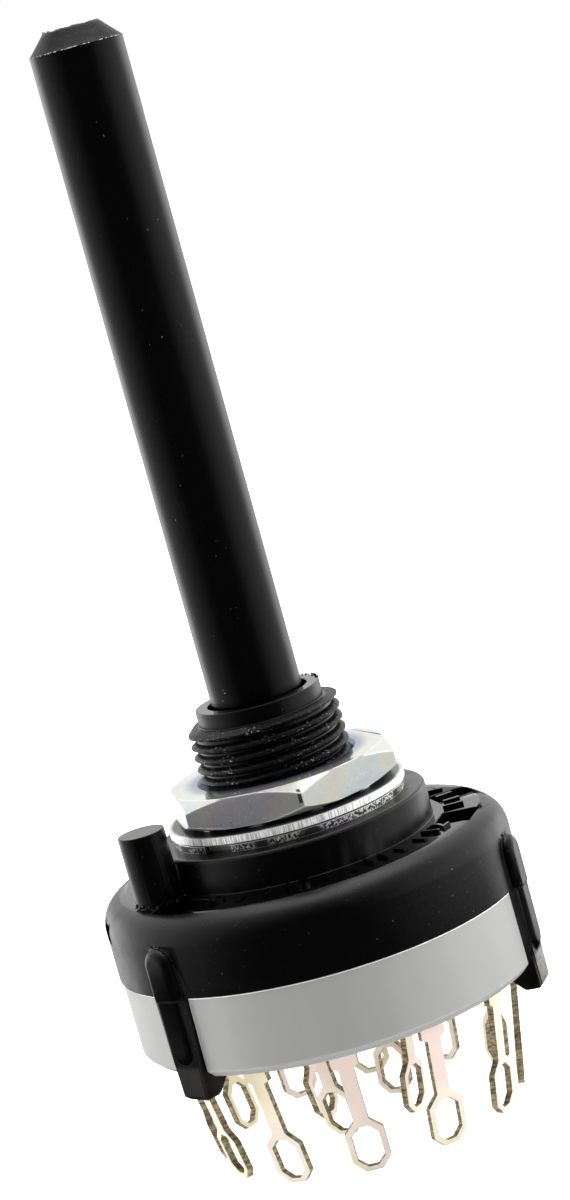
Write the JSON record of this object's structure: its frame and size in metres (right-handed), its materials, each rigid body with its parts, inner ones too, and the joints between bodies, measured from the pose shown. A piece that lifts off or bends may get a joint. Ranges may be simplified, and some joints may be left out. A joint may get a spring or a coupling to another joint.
{
  "type": "rotary switch",
  "caption": "Panel-mounted rotary switch with a long plain plastic shaft, threaded bush with nut and washers, round snap-together housing and a ring of solder lugs.",
  "frame": {"origin": "on the shaft axis, at the mounting face on top of the collar, which seats against the panel through the stop washer", "axes": "+Z along the shaft, away from the lugs; +X through terminal_01 and, at rest, through one detent ball"},
  "size_m": [0.0273, 0.0273, 0.0733],
  "materials": {
    "black_plastic": "satin black moulded thermoplastic",
    "shaft_plastic": "matt black moulded shaft, sawn at the end",
    "grey_plastic": "pale grey moulded thermoplastic",
    "white_plastic": "natural white moulded thermoplastic",
    "plated_steel": "zinc plated, passivated",
    "ball_steel": "polished bearing ball",
    "spring_steel": "bright spring wire",
    "tinned_brass": "stamped strip, tin plated",
    "contact_bronze": "bright phosphor bronze strip"
  },
  "bodies": {
    "housing": {"housing": "black_plastic", "base": "grey_plastic", "stop_washer": "plated_steel", "lock_washer": "plated_steel", "panel_nut": "plated_steel", "terminal_01": "tinned_brass", "terminal_02": "tinned_brass", "terminal_03": "tinned_brass", "terminal_04": "tinned_brass", "terminal_05": "tinned_brass", "terminal_06": "tinned_brass", "terminal_07": "tinned_brass", "terminal_08": "tinned_brass", "terminal_09": "tinned_brass", "terminal_10": "tinned_brass", "terminal_11": "tinned_brass", "terminal_12": "tinned_brass", "common_a": "tinned_brass", "common_b": "tinned_brass", "common_c": "tinned_brass", "common_d": "tinned_brass"},
    "spindle": {"spindle": "shaft_plastic", "rotor": "white_plastic", "wiper_a": "contact_bronze", "wiper_b": "contact_bronze", "wiper_c": "contact_bronze", "wiper_d": "contact_bronze", "detent_spring": "spring_steel"},
    "detent_ball_1": {"detent_ball_1": "ball_steel"},
    "detent_ball_2": {"detent_ball_2": "ball_steel"}
  },
  "joints": [
    {"name": "spindle_turn", "type": "hinge", "parent": "housing", "child": "spindle", "pos_m": [0, 0, 0], "axis": [0, 0, 1], "range_deg": [-30, 30]},
    {"name": "detent_ball_1_slide", "type": "slide", "parent": "spindle", "child": "detent_ball_1", "axis": [1, 0, 0], "range_m": [-0.00005, 0.00045], "stiffness_N_per_m": 500, "springref_m": 0.00045},
    {"name": "detent_ball_2_slide", "type": "slide", "parent": "spindle", "child": "detent_ball_2", "axis": [-1, 0, 0], "range_m": [-0.00005, 0.00045], "stiffness_N_per_m": 500, "springref_m": 0.00045}
  ]
}
